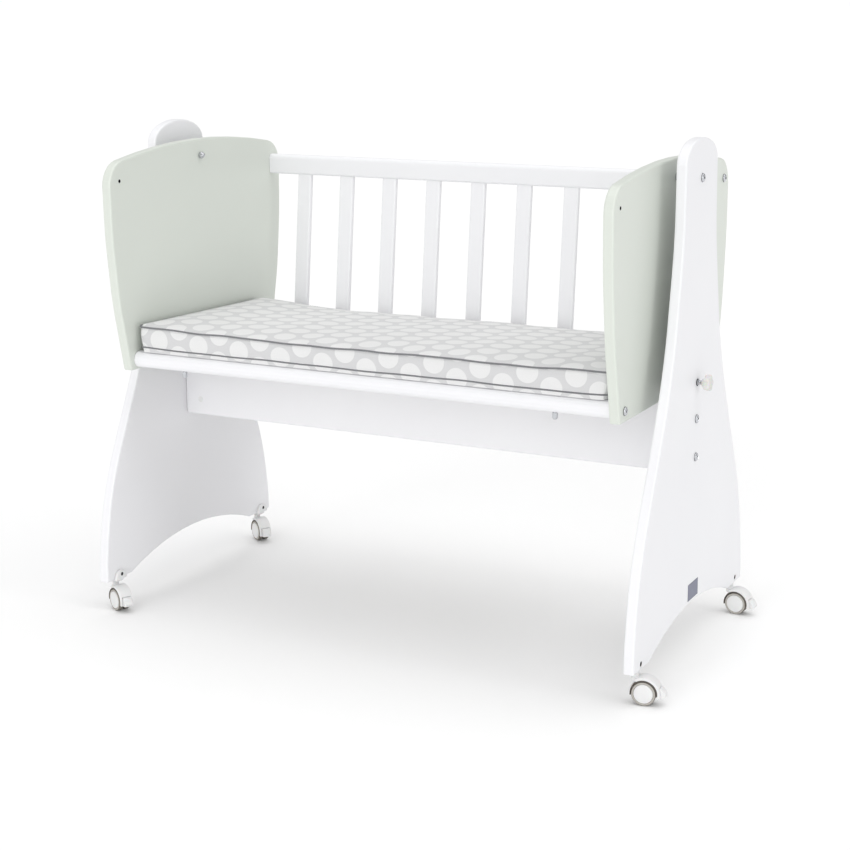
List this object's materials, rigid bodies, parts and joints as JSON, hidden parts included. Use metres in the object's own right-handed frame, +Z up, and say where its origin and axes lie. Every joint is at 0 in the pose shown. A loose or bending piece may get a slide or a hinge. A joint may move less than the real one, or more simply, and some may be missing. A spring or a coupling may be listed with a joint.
{
  "type": "baby cradle",
  "caption": "Swinging bedside baby cradle with arched stand ends on braked castors, flared end panels, a slatted back side, an open front and a mattress.",
  "frame": {"origin": "on the floor under the middle of the overall box, 20 mm towards the lock knob from the middle of the cradle, because the right castors trail outwards past the stand", "axes": "+X along the cradle towards the end with the lock knob, +Y from the open front towards the slatted back, +Z up"},
  "size_m": [1.0839, 0.542, 0.875],
  "materials": {
    "white_board": "smooth white lacquer on board",
    "green_board": "smooth pale grey-green lacquer on board",
    "base_board": "bare hardboard",
    "bright_steel": "zinc-plated, bright",
    "mattress_cloth": "woven cotton cover, pale grey with small light dots and dark piping",
    "white_plastic": "moulded, satin",
    "clear_plastic": "moulded, milky and slightly see-through",
    "wheel_plastic": "white hub disc with a soft taupe tread"
  },
  "bodies": {
    "stand": {"stand_end_left": "white_board", "stand_end_right": "white_board", "stretcher_board": "white_board", "stretcher_bolt_left_lower": "bright_steel", "stretcher_bolt_left_upper": "bright_steel", "stretcher_bolt_right_lower": "bright_steel", "stretcher_bolt_right_upper": "bright_steel", "pivot_bolt_left": "bright_steel", "pivot_spacer_left": "bright_steel", "pivot_nut_left": "bright_steel", "pivot_bolt_right": "bright_steel", "pivot_spacer_right": "bright_steel", "pivot_nut_right": "bright_steel", "lock_insert": "bright_steel", "castor_front_right_bracket": "white_plastic", "castor_back_right_bracket": "white_plastic", "castor_front_left_bracket": "white_plastic", "castor_back_left_bracket": "white_plastic"},
    "cradle": {"end_panel_left": "green_board", "end_panel_right": "green_board", "back_top_rail": "white_board", "back_bottom_rail": "white_board", "front_bottom_rail": "white_board", "slat_1": "white_board", "slat_2": "white_board", "slat_3": "white_board", "slat_4": "white_board", "slat_5": "white_board", "slat_6": "white_board", "slat_7": "white_board", "slat_8": "white_board", "slat_9": "white_board", "base_board": "base_board", "rail_bolt_left_top_back": "bright_steel", "rail_bolt_left_bottom_front": "bright_steel", "rail_bolt_left_bottom_back": "bright_steel", "rail_bolt_right_top_back": "bright_steel", "rail_bolt_right_bottom_front": "bright_steel", "rail_bolt_right_bottom_back": "bright_steel", "side_bolt_left": "bright_steel", "side_bolt_right": "bright_steel", "mattress": "mattress_cloth"},
    "lock_bolt": {"lock_bolt": "bright_steel"},
    "lock_knob": {"lock_knob": "clear_plastic"},
    "castor_front_right": {"castor_front_right_hood": "white_plastic"},
    "castor_front_right_wheel_front": {"castor_front_right_wheel_front": "wheel_plastic"},
    "castor_front_right_wheel_back": {"castor_front_right_wheel_back": "wheel_plastic"},
    "castor_front_right_brake": {"castor_front_right_brake_pedal": "white_plastic"},
    "castor_back_right": {"castor_back_right_hood": "white_plastic"},
    "castor_back_right_wheel_front": {"castor_back_right_wheel_front": "wheel_plastic"},
    "castor_back_right_wheel_back": {"castor_back_right_wheel_back": "wheel_plastic"},
    "castor_back_right_brake": {"castor_back_right_brake_pedal": "white_plastic"},
    "castor_front_left": {"castor_front_left_hood": "white_plastic"},
    "castor_front_left_wheel_front": {"castor_front_left_wheel_front": "wheel_plastic"},
    "castor_front_left_wheel_back": {"castor_front_left_wheel_back": "wheel_plastic"},
    "castor_front_left_brake": {"castor_front_left_brake_pedal": "white_plastic"},
    "castor_back_left": {"castor_back_left_hood": "white_plastic"},
    "castor_back_left_wheel_front": {"castor_back_left_wheel_front": "wheel_plastic"},
    "castor_back_left_wheel_back": {"castor_back_left_wheel_back": "wheel_plastic"},
    "castor_back_left_brake": {"castor_back_left_brake_pedal": "white_plastic"}
  },
  "joints": [
    {"name": "cradle_swing", "type": "hinge", "parent": "stand", "child": "cradle", "pos_m": [-0.01995, 0, 0.8108], "axis": [1, 0, 0], "range_deg": [-8, 8]},
    {"name": "lock_slide", "type": "slide", "parent": "stand", "child": "lock_bolt", "axis": [1, 0, 0], "range_m": [-0.0055, 0.011]},
    {"name": "lock_turn", "type": "hinge", "parent": "lock_bolt", "child": "lock_knob", "pos_m": [0.51755, 0, 0.4743], "axis": [1, 0, 0], "range_deg": [-1440, 2880]},
    {"name": "castor_front_right_swivel", "type": "hinge", "parent": "stand", "child": "castor_front_right", "pos_m": [0.48855, -0.237, 0.0497], "axis": [0, 0, 1], "continuous": true},
    {"name": "castor_front_right_front_roll", "type": "hinge", "parent": "castor_front_right", "child": "castor_front_right_wheel_front", "pos_m": [0.50452, -0.24212, 0.02], "axis": [-0.153, 0.9882, 0], "continuous": true},
    {"name": "castor_front_right_back_roll", "type": "hinge", "parent": "castor_front_right", "child": "castor_front_right_wheel_back", "pos_m": [0.50223, -0.22729, 0.02], "axis": [-0.153, 0.9882, 0], "continuous": true},
    {"name": "castor_front_right_brake", "type": "hinge", "parent": "castor_front_right", "child": "castor_front_right_brake", "pos_m": [0.52744, -0.23098, 0.02518], "axis": [-0.153, 0.9882, 0], "range_deg": [0, 10]},
    {"name": "castor_back_right_swivel", "type": "hinge", "parent": "stand", "child": "castor_back_right", "pos_m": [0.48855, 0.237, 0.0497], "axis": [0, 0, 1], "continuous": true},
    {"name": "castor_back_right_front_roll", "type": "hinge", "parent": "castor_back_right", "child": "castor_back_right_wheel_front", "pos_m": [0.50292, 0.22835, 0.02], "axis": [0.0785, 0.9969, 0], "continuous": true},
    {"name": "castor_back_right_back_roll", "type": "hinge", "parent": "castor_back_right", "child": "castor_back_right_wheel_back", "pos_m": [0.50409, 0.2433, 0.02], "axis": [0.0785, 0.9969, 0], "continuous": true},
    {"name": "castor_back_right_brake", "type": "hinge", "parent": "castor_back_right", "child": "castor_back_right_brake", "pos_m": [0.52778, 0.23391, 0.02518], "axis": [0.0785, 0.9969, 0], "range_deg": [0, 10]},
    {"name": "castor_front_left_swivel", "type": "hinge", "parent": "stand", "child": "castor_front_left", "pos_m": [-0.52845, -0.237, 0.0497], "axis": [0, 0, 1], "continuous": true},
    {"name": "castor_front_left_front_roll", "type": "hinge", "parent": "castor_front_left", "child": "castor_front_left_wheel_front", "pos_m": [-0.51816, -0.25024, 0.02], "axis": [0.4321, 0.9018, 0], "continuous": true},
    {"name": "castor_front_left_back_roll", "type": "hinge", "parent": "castor_front_left", "child": "castor_front_left_wheel_back", "pos_m": [-0.51168, -0.23672, 0.02], "axis": [0.4321, 0.9018, 0], "continuous": true},
    {"name": "castor_front_left_brake", "type": "hinge", "parent": "castor_front_left", "child": "castor_front_left_brake", "pos_m": [-0.49296, -0.254, 0.02518], "axis": [0.4321, 0.9018, 0], "range_deg": [0, 10]},
    {"name": "castor_back_left_swivel", "type": "hinge", "parent": "stand", "child": "castor_back_left", "pos_m": [-0.52845, 0.237, 0.0497], "axis": [0, 0, 1], "continuous": true},
    {"name": "castor_back_left_front_roll", "type": "hinge", "parent": "castor_back_left", "child": "castor_back_left_wheel_front", "pos_m": [-0.52003, 0.2225, 0.02], "axis": [0.549, 0.8358, 0], "continuous": true},
    {"name": "castor_back_left_back_roll", "type": "hinge", "parent": "castor_back_left", "child": "castor_back_left_wheel_back", "pos_m": [-0.51179, 0.23503, 0.02], "axis": [0.549, 0.8358, 0], "continuous": true},
    {"name": "castor_back_left_brake", "type": "hinge", "parent": "castor_back_left", "child": "castor_back_left_brake", "pos_m": [-0.49556, 0.21539, 0.02518], "axis": [0.549, 0.8358, 0], "range_deg": [0, 10]}
  ],
  "couplings": [
    {"joint": "lock_slide", "follows": "lock_turn", "m_per_rad": 0.00019894}
  ]
}
